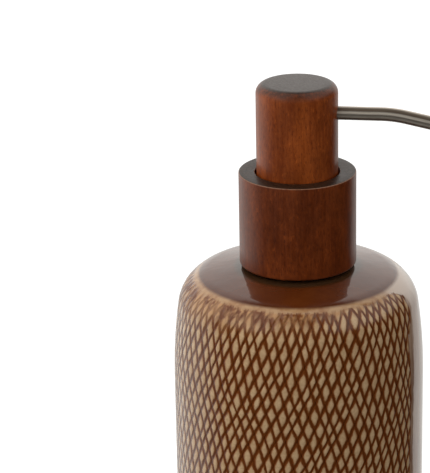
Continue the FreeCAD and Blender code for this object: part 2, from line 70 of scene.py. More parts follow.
# ---- the spout, as in the CAD source ---------------------------------------------------------------
SPOUT_RADIUS, SPOUT_WALL, SPOUT_Z, SPOUT_ROOT_X, SPOUT_CORNER_X = 2.25, 0.5, 170.0, 2.6, 32.0
SPOUT_RUN, SPOUT_TIP, SPOUT_DROOP, SPOUT_TURN, SPOUT_BEND_RADII = 20.5, 12.0, 12.0, 55.0, (40.0, 12.0)

# ---- the carved net -------------------------------------------------------------------------------
NET_LINES = 76                      # lines of each family round the bottle
NET_TOP, NET_MARGIN = 15.9, 9.0     # along the outline: from the collar's edge, and above its lower end
NET_LEAN_A, NET_LEAN_B = 27.0, 16.5     # how far each family leans from upright
NET_RADIUS = 42.4                   # of the wall on which the leans hold
NET_FADE = 2.5                      # the grooves grow to their full depth along this much outline
GROOVE_DEPTH, GROOVE_REACH, CELL_DISH = 0.26, 0.17, 0.1     # the reach is a share of the spacing
STRAY_SLOW, STRAY_FAST, STRAY_OWN = 0.42, 0.12, 0.26    # how far lines wander, as shares of the spacing
CELL_STEPS = (0.0, 0.1, 0.28, 0.72, 0.9)     # vertices across one lattice cell
SKIN = 0.03                         # the net's crests stay this far inside the CAD surface
RINGS_ROUND = 240
# degrees round from the front: the net's panel ends at the first, and a plain strip runs on to the second,
# its glaze painted pale as a highlight where the side's bright reflection band falls
STRIP_FROM, STRIP_TO = 75.2, 112.0
# degrees by which the panel's upper corner is cut back and its edge drifts back, and where along the outline
STRIP_CORNER, CORNER_RUN, STRIP_DRIFT, DRIFT_START, DRIFT_RUN = 10.0, 3.0, 5.9, 9.0, 10.0
# what stands for the run on surfaces that lie off the glazed outline
RIM_RUN, MOUTH_RUN, INSIDE_RUN, LID_RUN = -60, -70, -90, -99


def slope_arc(points, slope_from, slope_to, radius, steps):
    """Adds points of a convex arc whose downhill slope goes from one angle to another."""
    r, z = points[-1]
    a, b = math.radians(slope_from), math.radians(slope_to)
    centre = (r - radius * math.sin(a), z - radius * math.cos(a))
    for k in range(1, steps + 1):
        t = a + (b - a) * k / steps
        points.append((centre[0] + radius * math.sin(t), centre[1] + radius * math.cos(t)))


def shoulder_at(inset, radius_here):
    """Slope and height of the shoulder's arc, at a depth below the surface, at a radius."""
    slope = math.radians(SHOULDER_SLOPE_IN)
    centre_r = COLLAR_RADIUS - SHOULDER_RADIUS * math.sin(slope)
    centre_z = SHOULDER_Z - SHOULDER_RADIUS * math.cos(slope)
    reach = SHOULDER_RADIUS - inset
    angle = math.asin((radius_here - centre_r) / reach)
    return math.degrees(angle), centre_z + reach * math.cos(angle)


def outline(inset, slope_in, start, lower_slope):
    """Points of the outline, or of a curve inside it, from the neck's root to the lower corner."""
    points = [start]
    slope_arc(points, slope_in, SHOULDER_SLOPE_OUT, SHOULDER_RADIUS - inset, 24)
    slope_arc(points, SHOULDER_SLOPE_OUT, SIDE_SLOPE, CORNER_RADIUS - inset, 48)
    slope_arc(points, SIDE_SLOPE, 90, SIDE_RADIUS - inset, 24)
    points.append((points[-1][0], WAIST_BOTTOM))
    slope_arc(points, 90, LOWER_SIDE_SLOPE, LOWER_SIDE_RADIUS - inset, 16)
    slope_arc(points, LOWER_SIDE_SLOPE, lower_slope, LOWER_CORNER_RADIUS - inset, 24)
    return points


FILLET_SLOPE, FILLET_Z = shoulder_at(-NECK_FILLET, NECK_RADIUS + NECK_FILLET)
ROOT = (NECK_RADIUS + NECK_FILLET - NECK_FILLET * math.sin(math.radians(FILLET_SLOPE)),
        FILLET_Z - NECK_FILLET * math.cos(math.radians(FILLET_SLOPE)))
OUTER = np.array(outline(0, FILLET_SLOPE, ROOT, LOWER_CORNER_SLOPE))
RUN = np.r_[0, np.cumsum(np.hypot(*np.diff(OUTER, axis=0).T))]
AT_COLLAR = float(np.interp(COLLAR_RADIUS, OUTER[:25, 0], RUN[:25]))
RUN -= AT_COLLAR                    # distance along the outline from the collar's edge
NET_BOTTOM = float(RUN[-1]) - NET_MARGIN
SHOULDER_END = 14.4                 # the brown glaze stops here and the pale rim of the net starts
SPACING = 2 * math.pi * NET_RADIUS / NET_LINES
GAP_A, GAP_B = (SPACING * math.cos(math.radians(v)) for v in (NET_LEAN_A, NET_LEAN_B))
RATE_A, RATE_B = (math.tan(math.radians(v)) / SPACING for v in (NET_LEAN_A, NET_LEAN_B))
RATE = RATE_A + RATE_B              # how many cells of the lattice pass in a millimetre of outline

# ---- linear colours of the glaze -------------------------------------------------------------------
CELL_LIGHT, CELL_DARK, CELL_GRIT = (0.76, 0.54, 0.32), (0.6, 0.38, 0.2), (0.46, 0.28, 0.14)
LINE_EDGE, LINE_LIGHT, LINE_DARK = (0.36, 0.15, 0.05), (0.18, 0.047, 0.0095), (0.075, 0.015, 0.0026)
SMUDGE_PALE, SMUDGE_RUST = (0.5, 0.26, 0.11), (0.17, 0.046, 0.009)
SMUDGE_DARK = (0.15, 0.042, 0.008)
RIM_PALE, RIM_TAN = (0.5, 0.3, 0.15), (0.36, 0.17, 0.07)
# the plain strip's colours are painted highlight, pale where the side's bright reflection band falls
STRIP_PAINTED_HIGHLIGHT_PALE, STRIP_PAINTED_HIGHLIGHT_TAN, STRIP_PAINTED_HIGHLIGHT_ROSE = (0.64, 0.5, 0.4), (0.42, 0.27, 0.18), (0.3, 0.17, 0.11)
SHOULDER_DEEP, SHOULDER_WARM = (0.095, 0.02, 0.003), (0.12, 0.028, 0.005)
# the second colour here is painted shade, for the dark ring round the collar's foot
SHOULDER_EDGE, SHOULDER_PAINTED_SHADE = (0.09, 0.02, 0.004), (0.045, 0.024, 0.011)


def on_outline(s):
    """Radius, height and outward normal of the bottle at a distance along its outline."""
    r, z = np.interp(s, RUN, OUTER[:, 0]), np.interp(s, RUN, OUTER[:, 1])
    e = 0.15
    dr = np.interp(s + e, RUN, OUTER[:, 0]) - np.interp(s - e, RUN, OUTER[:, 0])
    dz = np.interp(s + e, RUN, OUTER[:, 1]) - np.interp(s - e, RUN, OUTER[:, 1])
    size = np.hypot(dr, dz)
    return r, z, -dz / size, dr / size


class Skin:
    """Collects vertices, faces and, for each face corner, the marks that the materials read.

    On the bottle these are the place among each family of lines, and the run along the outline."""

    def __init__(self):
        self.verts, self.faces, self.corners = [], [], []
        self.bulk = {}                  # the outline's own normal, for vertices of the glazed outside

    def ring(self, r, z, n=RINGS_ROUND, wobble=None):
        """A ring of vertices at a radius and height. Returns their indices."""
        first = len(self.verts)
        for k in range(n):
            t = 2 * math.pi * k / n
            rr = r + (wobble(t, z) if wobble else 0.0)
            self.verts.append((rr * math.cos(t), rr * math.sin(t), z))
        return list(range(first, first + n))

    def follow(self, ring, s):
        """Notes the outline's own normal on a ring of the glazed outside."""
        _, _, nr, nz = on_outline(s)
        for i in ring:
            x, y, _ = self.verts[i]
            r = math.hypot(x, y)
            self.bulk[i] = (float(nr) * x / r, float(nr) * y / r, float(nz))

    def add(self, face, marks):
        self.faces.append(face)
        self.corners.extend(marks)

    def band(self, upper, lower, mark_upper, mark_lower):
        """Quads between two rings of the same count, facing outward when upper is the higher ring."""
        n = len(upper)
        for k in range(n):
            m = (k + 1) % n
            self.add((upper[k], lower[k], lower[m], upper[m]),
                     (mark_upper, mark_lower, mark_lower, mark_upper))

    def lathe(self, points, wobble=None, first=None):
        """Bands through a run of (radius, height, run) points. Returns their rings."""
        rings = []
        for k, (r, z, s) in enumerate(points):
            made = first if k == 0 and first else self.ring(r, z, wobble=wobble)
            if rings:
                self.band(rings[-1], made, (0, 0, points[k - 1][2]), (0, 0, s))
            rings.append(made)
        return rings

    def zip(self, upper, lower, mark_upper, mark_lower):
        """Triangles between two rings of different counts, each sorted by angle."""
        def angle(i):
            return math.atan2(self.verts[i][1], self.verts[i][0]) % (2 * math.pi)
        up = sorted(upper, key=angle)
        low = sorted(lower, key=angle)
        ua, la = [angle(i) for i in up], [angle(i) for i in low]
        i = j = 0
        nu, nl = len(up), len(low)
        while i < nu or j < nl:
            next_u = ua[(i + 1) % nu] + (2 * math.pi if i + 1 >= nu else 0)
            next_l = la[(j + 1) % nl] + (2 * math.pi if j + 1 >= nl else 0)
            if j >= nl or (i < nu and next_u <= next_l):
                self.add((up[i % nu], low[j % nl], up[(i + 1) % nu]), (mark_upper, mark_lower, mark_upper))
                i += 1
            else:
                self.add((up[i % nu], low[j % nl], low[(j + 1) % nl]), (mark_upper, mark_lower, mark_lower))
                j += 1

    def lid(self, ring, z, up):
        """Closes a ring with a fan to a centre point."""
        centre = len(self.verts)
        self.verts.append((0, 0, z))
        n = len(ring)
        for k in range(n):
            a, b = ring[k], ring[(k + 1) % n]
            self.add((a, b, centre) if up else (b, a, centre), ((0, 0, LID_RUN),) * 3)

    def mesh(self, name):
        me = bpy.data.meshes.new(name)
        me.from_pydata([(x * MM, y * MM, z * MM) for x, y, z in self.verts], [], self.faces)
        marks = me.attributes.new("marks", "FLOAT_VECTOR", "CORNER")
        marks.data.foreach_set("vector", np.array(self.corners, np.float32).ravel())
        if self.bulk:
            flow = me.attributes.new("flow", "FLOAT_VECTOR", "POINT")
            given = [self.bulk.get(i, (0, 0, 0)) for i in range(len(self.verts))]
            flow.data.foreach_set("vector", np.array(given, np.float32).ravel())
        me.shade_smooth()
        me.validate()
        me.update()
        return me


def finish_piece(me, body, replaced, material):
    """An object for a mesh, riding on a CAD body in place of its CAD nodes."""
    o = bpy.data.objects.new(me.name, me)
    scene.collection.objects.link(o)
    me.materials.append(material)
    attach(o, body)
    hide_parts(*replaced)


# ---- bottle mesh ------------------------------------------------------------------------------------
def line_shift(family, i, s):
    """How far a hand-cut line strays from its even place, as a share of the spacing."""
    t = 2 * math.pi * (i % NET_LINES) / NET_LINES
    px, py = 5.2 * math.cos(t), 5.2 * math.sin(t)
    slow = noise.noise(Vector((px + 31 * family, py, s / 26)))
    fast = noise.noise(Vector((px * 4, py * 4 + 17 * family, s / 7.5)))
    own = noise.noise(Vector((px * 9, py * 9, 3.3 + 9 * family)))
    return STRAY_SLOW * slow + STRAY_FAST * fast + STRAY_OWN * own


def plain(t, s):
    """How far a place lies inside the plain strip, from 0 to 1."""
    around = (math.degrees(t) + 90 + 180) % 360 - 180
    start = STRIP_FROM - STRIP_CORNER * (1 - min(1.0, max(0.0, (s - NET_TOP) / CORNER_RUN)))
    start -= STRIP_DRIFT * min(1.0, max(0.0, (s - NET_TOP - DRIFT_START) / DRIFT_RUN))
    return min(1.0, max(0.0, around - start)) * min(1.0, max(0.0, STRIP_TO - around))


def corners(p, q):
    """Grid places of a quad's corners, and the key of each one's vertex, the same all round the bottle."""
    whole = NET_LINES * len(CELL_STEPS)
    for c in ((p, q), (p + 1, q), (p + 1, q + 1), (p, q + 1)):
        yield c, (c if c[1] < whole else (c[0] - whole, c[1] - whole))


def across_cells(i):
    """Where a grid line lies, counted in cells."""
    return i // len(CELL_STEPS) + CELL_STEPS[i % len(CELL_STEPS)]


def stray(family, x, s, store):
    """How far the net has strayed at a place between two lines of a family."""
    i = math.floor(x)
    half = round(s * 2)                 # strays are worked out every half millimetre
    both = []
    for line in (i, i + 1):
        if (family, line, half) not in store:
            store[family, line, half] = line_shift(family, line, half / 2)
        both.append(store[family, line, half])
    return both[0] * (1 - (x - i)) + both[1] * (x - i)


def net_grid(skin):
    """The carved band, meshed along its own two families of lines. Returns its top and bottom rings."""
    per = len(CELL_STEPS)
    low, high = NET_TOP * RATE, NET_BOTTOM * RATE
    quads, used = [], {}
    for q in range(NET_LINES * per):
        b = (across_cells(q) + across_cells(q + 1)) / 2
        p = int((b + low - 1) * per)
        while True:
            a = (across_cells(p) + across_cells(p + 1)) / 2
            if a - b > high:
                break
            if a - b >= low:
                quads.append((p, q))
                for _, key in corners(p, q):
                    used[key] = used.get(key, 0) + 1
            p += 1
    store, index, top, bottom = {}, {}, [], []
    for (p, q), count in used.items():
        at_rim = count < 4              # fewer than four quads meet here
        a, b = across_cells(p), across_cells(q)
        s = (a - b) / RATE
        fa, fb = a - math.floor(a), b - math.floor(b)
        fade = min(1.0, max(0.0, (s - NET_TOP) / NET_FADE))
        fade *= min(1.0, max(0.0, (NET_BOTTOM - s) / NET_FADE))
        if at_rim:
            fade = 0.0                  # the rim keeps its even order round the bottle
        a2, b2 = a + stray(0, a, s, store) * fade, b + stray(1, b, s, store) * fade
        s2 = (a2 - b2) / RATE
        t = 2 * math.pi / NET_LINES * (a2 * RATE_B + b2 * RATE_A) / RATE
        da, db = min(fa, 1 - fa), min(fb, 1 - fb)
        cut = max(0.0, 1 - min(da, db) / GROOVE_REACH) ** 1.3
        rough = 0.85 + 0.35 * noise.noise(Vector((12 * math.cos(t), 12 * math.sin(t), s / 4)))
        depth = GROOVE_DEPTH * cut * fade * rough
        depth += CELL_DISH * fade * (1 - min(1.0, 16 * da * db))
        depth *= 1 - plain(t, s)
        at_top = s < (NET_TOP + NET_BOTTOM) / 2
        if at_rim:
            s2, depth = (NET_TOP if at_top else NET_BOTTOM), 0.0
        r, z, nr, nz = on_outline(s2)
        r, z = r - nr * (depth + SKIN), z - nz * (depth + SKIN)
        made = index[p, q] = len(skin.verts)
        skin.verts.append((float(r * math.cos(t)), float(r * math.sin(t)), float(z)))
        skin.bulk[made] = (float(nr * math.cos(t)), float(nr * math.sin(t)), float(nz))
        if at_rim:
            (top if at_top else bottom).append(made)
    for p, q in quads:
        face, marks = [], []
        for c, key in corners(p, q):
            face.append(index[key])
            a, b = across_cells(c[0]), across_cells(c[1])
            marks.append((a - math.floor(p / per), b - math.floor(q / per), (a - b) / RATE))
        skin.add(tuple(face), marks)
    return top, bottom


def thread_ridge(t, z):
    """Height of the neck's thread over its cylinder, at an angle and a height."""
    turn = (z - NECK_FOOT - THREAD_START) / THREAD_PITCH
    best = 0.0
    for k in range(-1, 3):
        along = k + t / (2 * math.pi)
        before, after = along + THREAD_PAST, THREAD_TURNS + THREAD_PAST - along
        if before > 0 and after > 0:
            off = abs(turn - along) * THREAD_PITCH
            ends = min(1.0, before / THREAD_TAPER, after / THREAD_TAPER)
            best = max(best, ends * max(0.0, min(1.0, THREAD_CREST - off / THREAD_FLANK)))
    return THREAD_HEIGHT * best * best * (3 - 2 * best)


def neck_outline():
    """Radius, height and run of the neck's outside: lip, thread's cylinder and fillet."""
    points = []
    for k in range(7):
        t = math.pi / 2 * (1 - k / 6)
        points.append((NECK_RADIUS - NECK_LIP + NECK_LIP * math.cos(t),
                       NECK_TOP - NECK_LIP + NECK_LIP * math.sin(t), RIM_RUN))
    under_lip = points[-1][1]
    for k in range(1, 31):
        points.append((NECK_RADIUS, under_lip + (FILLET_Z - under_lip) * k / 30, RIM_RUN))
    for k in range(1, 7):
        t = math.radians(180 + (90 - FILLET_SLOPE) * k / 6)
        points.append((NECK_RADIUS + NECK_FILLET + NECK_FILLET * math.cos(t),
                       FILLET_Z + NECK_FILLET * math.sin(t), 5 * k - 40))
    return points


def glazed_points(runs, tucked):
    """Radius, height and run of places on the outline, drawn in by a share of the skin."""
    points = []
    for s in runs:
        r, z, nr, nz = on_outline(min(s, RUN[-1] - 0.01))
        inward = SKIN * min(1.0, max(0.0, tucked(s)))
        points.append((float(r - nr * inward), float(z - nz * inward), float(s)))
    return points


def foot_outline(step):
    """Radius, height and run of the foot ring and its recess, below the lower corner's last height."""
    run = float(RUN[-1])
    points = [(FOOT_OUTER + FOOT_EDGE + 0.5, step - 0.03, run + 2),
              (FOOT_OUTER + FOOT_EDGE + 0.05, step - 0.45, run + 3),
              (FOOT_OUTER + FOOT_EDGE, FOOT_EDGE, run + 6)]
    for k in range(1, 5):
        t = math.pi / 2 * k / 4
        points.append((FOOT_OUTER + FOOT_EDGE * math.cos(t), FOOT_EDGE - FOOT_EDGE * math.sin(t), run + 7))
    points.append((FOOT_INNER + FOOT_EDGE, 0.0, run + 8))
    for k in range(1, 5):
        t = math.pi / 2 * k / 4
        points.append((FOOT_INNER + FOOT_EDGE - FOOT_EDGE * math.sin(t),
                       FOOT_EDGE - FOOT_EDGE * math.cos(t), run + 9))
    points.append((FOOT_INNER - FOOT_RECESS + 0.3, FOOT_RECESS - 0.25, run + 10))
    points.append((FOOT_INNER - FOOT_RECESS - 0.4, FOOT_RECESS, run + 11))
    points.append((10.0, FOOT_RECESS, run + 12))
    return points


def inside_outline():
    """Radius, height and run of the inside: mouth, bore, walls and floor."""
    mouth_radius = NECK_BORE + 1.5
    slope, mouth_z = shoulder_at(WALL, mouth_radius)
    points = [(NECK_BORE + NECK_LIP, NECK_TOP, RIM_RUN)]
    for k in range(2, 7):
        t = math.pi / 2 * k / 6
        points.append((NECK_BORE + NECK_LIP - NECK_LIP * math.sin(t),
                       NECK_TOP - NECK_LIP + NECK_LIP * math.cos(t), RIM_RUN))
    points.append((NECK_BORE, mouth_z + 1.5, MOUTH_RUN))
    wall = outline(WALL, slope, (mouth_radius, mouth_z), 180)
    return points + [(r, z, INSIDE_RUN) for r, z in wall[::2]]


def bottle_mesh():
    """The whole bottle as one closed skin: neck, shoulder, net, foot and inside, in that order."""
    skin = Skin()
    neck = skin.lathe(neck_outline(), wobble=thread_ridge)

    above = NET_TOP - 0.3
    shoulder = glazed_points([s for s in RUN[1:] if s < NET_TOP - 0.5] + [above], lambda s: (s - 5) / 5)
    rings = skin.lathe([(0, 0, float(RUN[0]))] + shoulder, first=neck[-1])
    for made, point in zip(rings[1:], shoulder):
        skin.follow(made, point[2])
    top, bottom = net_grid(skin)
    skin.zip(rings[-1], top, (0, 0, above), (0, 0, NET_TOP))

    below = NET_BOTTOM + 0.3
    lower = glazed_points([below] + [s for s in RUN if s > NET_BOTTOM + 0.6], lambda s: (RUN[-1] - s) / 4)
    rings = skin.lathe(lower + foot_outline(lower[-1][1]))
    for made, point in zip(rings, lower):
        if point[2] < RUN[-1]:
            skin.follow(made, point[2])
    skin.zip(bottom, rings[0], (0, 0, NET_BOTTOM), (0, 0, below))
    skin.lid(rings[-1], FOOT_RECESS, up=True)

    inside = inside_outline()
    rings = skin.lathe(inside)
    skin.lid(rings[-1], inside[-1][1], up=False)
    skin.band(rings[0], neck[0], (0, 0, RIM_RUN), (0, 0, RIM_RUN))
    return skin


def build_bottle(material):
    me = bottle_mesh().mesh("stoneware_bottle")
    # the inside's bands face outward like the outside's, so all faces are turned to agree
    bm = bmesh.new()
    bm.from_mesh(me)
    bmesh.ops.recalc_face_normals(bm, faces=bm.faces)
    bm.to_mesh(me)
    bm.free()
    finish_piece(me, "bottle", ["bottle"], material)


# ---- node helper ------------------------------------------------------------------------------------
class Nodes:
    """A short way to write shader nodes."""

    def __init__(self, tree):
        self.tree = tree
        tree.nodes.clear()

    def node(self, kind, inputs=(), **settings):
        n = self.tree.nodes.new(kind)
        for key, v in settings.items():
            setattr(n, key, v)
        for key, v in dict(inputs).items():
            self.put(n.inputs[key], v)
        return n

    def put(self, socket, v):
        if isinstance(v, bpy.types.NodeSocket):
            self.tree.links.new(v, socket)
        elif v is not None:
            if isinstance(v, (tuple, list)) and len(v) == 3 and socket.type == "RGBA":
                v = (*v, 1.0)
            socket.default_value = v

    def math(self, op, a, b=0.0, c=0.0):
        return self.node("ShaderNodeMath", {0: a, 1: b, 2: c}, operation=op).outputs[0]

    def ramp(self, x, low, high, out_low=0.0, out_high=1.0):
        """A smooth step of x from low to high."""
        n = self.node("ShaderNodeMapRange", {"Value": x, "From Min": low, "From Max": high,
                                             "To Min": out_low, "To Max": out_high},
                      interpolation_type="SMOOTHSTEP", clamp=True)
        return n.outputs["Result"]

    def noise(self, vector, scale, detail=2.0, rough=0.5, distortion=0.0):
        n = self.node("ShaderNodeTexNoise", {"Vector": vector, "Scale": scale, "Detail": detail,
                                             "Roughness": rough, "Distortion": distortion})
        return n.outputs["Fac"]

    def mix(self, fac, a, b, blend="MIX"):
        n = self.node("ShaderNodeMix", data_type="RGBA", blend_type=blend)
        self.put(n.inputs["Factor"], fac)
        self.put(n.inputs[6], a)
        self.put(n.inputs[7], b)
        return n.outputs[2]

    def stretch(self, vector, scale):
        n = self.node("ShaderNodeVectorMath", {0: vector, 1: scale}, operation="MULTIPLY")
        return n.outputs[0]

    def split(self, vector):
        n = self.node("ShaderNodeSeparateXYZ", {0: vector})
        return n.outputs

    def bump(self, height, distance, strength=1.0, normal=None):
        n = self.node("ShaderNodeBump", {"Height": height, "Distance": distance, "Strength": strength})
        if normal is not None:
            self.put(n.inputs["Normal"], normal)
        return n.outputs["Normal"]


def srgb(r, g, b):
    """Linear colour from 0 to 255 display values."""
    def one(v):
        v /= 255
        return v / 12.92 if v <= 0.04045 else ((v + 0.055) / 1.055) ** 2.4
    return (one(r), one(g), one(b))


def material(name, build):
    m = bpy.data.materials.new(name)
    m.use_nodes = True
    k = Nodes(m.node_tree)
    shader = k.node("ShaderNodeBsdfPrincipled")
    out = k.node("ShaderNodeOutputMaterial")
    m.node_tree.links.new(shader.outputs[0], out.inputs[0])
    values = build(k)
    for key, v in values.items():
        k.put(shader.inputs[key], v)
    return m


# ---- glaze --------------------------------------------------------------------------------------------
def net_distance(k, a, b, place):
    """Distance in millimetres from the nearest carved line, rounded off where two lines cross."""
    wander = k.math("MULTIPLY_ADD", k.noise(place, 420, 2, 0.5), 0.2, -0.1)
    near = []
    for line, gap in ((a, GAP_A), (b, GAP_B)):
        line = k.math("ADD", line, wander)
        off = k.math("ABSOLUTE", k.math("SUBTRACT", line, k.math("ROUND", line)))
        near.append(k.math("MULTIPLY", off, gap))
    return k.math("SMOOTH_MIN", near[0], near[1], 0.8)


def highlight_strip_zone(k, s, place, streak):
    """How far a place lies in the plain strip, painted pale as a highlight where the side's bright reflection
    band falls, and in the dark edge that bounds the net's panel.
    """
    across, deep, _ = k.split(place)
    around = k.math("MULTIPLY", k.math("ARCTAN2", across, k.math("MULTIPLY", deep, -1.0)), 180 / math.pi)
    start = k.ramp(s, NET_TOP - 0.5, NET_TOP + CORNER_RUN, STRIP_FROM - STRIP_CORNER, STRIP_FROM)
    drift = k.ramp(s, NET_TOP + DRIFT_START, NET_TOP + DRIFT_START + DRIFT_RUN, 0.0, -STRIP_DRIFT)
    start = k.math("ADD", k.math("ADD", start, drift), k.math("MULTIPLY_ADD", streak, 5.0, -2.5))
    past = k.math("SUBTRACT", around, start)
    blend = k.ramp(s, NET_TOP - 0.6, NET_TOP + 0.4, 9.0, 0.4)
    highlight_strip = k.ramp(past, k.math("MULTIPLY", blend, -1.0), blend)
    highlight_strip = k.math("MULTIPLY", highlight_strip, k.ramp(around, STRIP_TO - 0.5, STRIP_TO + 0.5, 1.0, 0.0))
    return highlight_strip, k.math("MULTIPLY", k.ramp(past, -1.9, -0.8), k.ramp(around, 90, 95, 0.8, 0.0))


def level_gloss(k, place, flow, given):
    """The clear glaze lies level over the carved lines, so its gloss follows the body's own curve."""
    smooth = k.node("ShaderNodeVectorTransform", {"Vector": flow}, vector_type="NORMAL",
                    convert_from="OBJECT", convert_to="WORLD").outputs[0]
    level = k.node("ShaderNodeMix", data_type="VECTOR")
    k.put(level.inputs["Factor"], k.math("MULTIPLY", k.ramp(given, 0.4, 0.9), 0.8))
    k.put(level.inputs[4], k.node("ShaderNodeNewGeometry").outputs["Normal"])
    k.put(level.inputs[5], smooth)
    even = k.node("ShaderNodeVectorMath", {0: level.outputs[1]}, operation="NORMALIZE").outputs[0]
    wave = k.noise(k.stretch(place, (1, 1, 0.6)), 130, 2, 0.5)
    return k.bump(wave, 0.0006, 0.35, even)


def glaze(k):
    """Brown shoulder with painted shade round the collar's foot, pale rim, carved net with stained lines,
    plain strip painted pale as a highlight, and bare clay above and below.
    """
    a, b, s = k.split(k.node("ShaderNodeAttribute", attribute_name="marks").outputs["Vector"])
    place = k.node("ShaderNodeTexCoord").outputs["Object"]
    cloud = k.noise(place, 90, 3, 0.6)
    fine = k.noise(place, 900, 3, 0.6)
    blot = k.noise(place, 260, 3, 0.55)
    streak = k.noise(k.stretch(place, (1, 1, 0.25)), 230, 3, 0.6)
    shift = k.math("MULTIPLY_ADD", cloud, 1.4, -0.7)
    uneven = k.math("ADD", s, k.math("MULTIPLY", shift, 0.5))
    # the net: pale cells, and lines that pool where they cross
    line = net_distance(k, a, b, place)
    width = k.math("MULTIPLY_ADD", blot, 0.85, -0.1)
    core = k.ramp(line, width, k.math("ADD", width, 0.34), 1.0, 0.0)
    pool = k.ramp(line, -0.1, 0.22, 1.0, 0.0)
    halo = k.ramp(line, width, k.math("ADD", width, 0.75), 1.0, 0.0)
    cells = k.mix(cloud, CELL_LIGHT, CELL_DARK)
    cells = k.mix(k.ramp(fine, 0.35, 0.7, 0.0, 0.5), cells, CELL_GRIT)
    net = k.mix(k.math("MULTIPLY", halo, 0.85), cells, LINE_EDGE)
    net = k.mix(core, net, k.mix(pool, LINE_LIGHT, LINE_DARK))
    # near the rim the stain has run, least of all at the right
    crisp = k.ramp(k.split(place)[0], 0.006, 0.022)
    further = k.ramp(k.split(place)[0], -0.03, -0.005, 5.0, 0.0)
    soft_end = k.math("ADD", k.math("MULTIPLY_ADD", crisp, -7.0, 10.0), further)
    reach = k.math("SUBTRACT", k.math("MULTIPLY_ADD", streak, 6.0, s), NET_TOP + 3.0)
    fade = k.ramp(k.math("DIVIDE", reach, soft_end), 0.15, 0.95)
    smudge = k.mix(k.ramp(streak, 0.42, 0.58), SMUDGE_PALE, SMUDGE_RUST)
    smudge = k.mix(k.math("MULTIPLY", halo, 0.45), smudge, SMUDGE_DARK)
    net = k.mix(fade, smudge, net)
    highlight_strip, panel_edge = highlight_strip_zone(k, s, place, streak)
    net = k.mix(panel_edge, net, LINE_LIGHT)
    rim = k.mix(k.ramp(streak, 0.35, 0.7), RIM_PALE, RIM_TAN)
    net = k.mix(k.ramp(uneven, NET_TOP - 0.1, NET_TOP + 1.4), rim, net)
    # painted highlight: the plain strip is painted pale where the side's bright reflection band falls, palest
    # near its top
    highlight_strip_colour = k.mix(k.ramp(streak, 0.35, 0.65), STRIP_PAINTED_HIGHLIGHT_TAN, STRIP_PAINTED_HIGHLIGHT_ROSE)
    highlight_strip_colour = k.mix(k.ramp(uneven, NET_TOP + 2, NET_TOP + 12, 1.0, 0.0), highlight_strip_colour, STRIP_PAINTED_HIGHLIGHT_PALE)
    net = k.mix(highlight_strip, net, highlight_strip_colour)
    # the shoulder, with painted shade: a dark ring round the collar's foot
    shoulder = k.mix(k.ramp(cloud, 0.35, 0.7), SHOULDER_DEEP, SHOULDER_WARM)
    shoulder = k.mix(k.ramp(s, SHOULDER_END - 3.0, SHOULDER_END), shoulder, SHOULDER_EDGE)
    # painted shade: darkens the shoulder's glaze near the collar
    collar_shade = k.ramp(k.math("MULTIPLY_ADD", shift, 0.5, s), 0.8, 2.9, 0.85, 0.0)
    shoulder = k.mix(collar_shade, shoulder, SHOULDER_PAINTED_SHADE)
    colour = k.mix(k.ramp(uneven, SHOULDER_END - 0.9, SHOULDER_END + 0.9), shoulder, net)
    # bare clay: the neck and inside above, the foot and recess below
    foot = float(RUN[-1])
    bare_foot = k.ramp(k.math("ADD", s, k.math("MULTIPLY", shift, 0.8)), foot + 1.5, foot + 2.2)
    bare = k.math("MAXIMUM", k.ramp(s, -30.0, -20.0, 1.0, 0.0), bare_foot)
    colour = k.mix(bare, colour, k.mix(fine, srgb(206, 186, 152), srgb(188, 164, 128)))
    rough = k.math("ADD", k.ramp(bare, 0, 1, 0.06, 0.75), k.math("MULTIPLY", cloud, 0.05))
    in_net = k.ramp(uneven, NET_TOP - 0.1, NET_TOP + 2.0)
    in_net = k.math("MULTIPLY", in_net, k.math("SUBTRACT", 1.0, highlight_strip))
    height = k.math("MULTIPLY", k.math("MULTIPLY", core, in_net), -0.25)
    height = k.math("ADD", height, k.math("MULTIPLY", k.noise(place, 160, 2, 0.5), 0.2))
    flow = k.node("ShaderNodeAttribute", attribute_name="flow").outputs["Vector"]
    given = k.node("ShaderNodeVectorMath", {0: flow}, operation="LENGTH").outputs["Value"]
    return {"Base Color": colour, "Roughness": rough, "Normal": k.bump(height, 0.0006, 0.6), "IOR": 1.5,
            "Specular IOR Level": k.ramp(given, 0.4, 0.9, 0.5, 0.12),
            "Coat Weight": k.ramp(given, 0.4, 0.9, 0.0, 0.85), "Coat Roughness": 0.02, "Coat IOR": 1.5,
            "Coat Normal": level_gloss(k, place, flow, given)}


# ---- wood -----------------------------------------------------------------------------------------------
END_PORE, END_GRAIN = (0.016, 0.009, 0.005), (0.045, 0.02, 0.01)


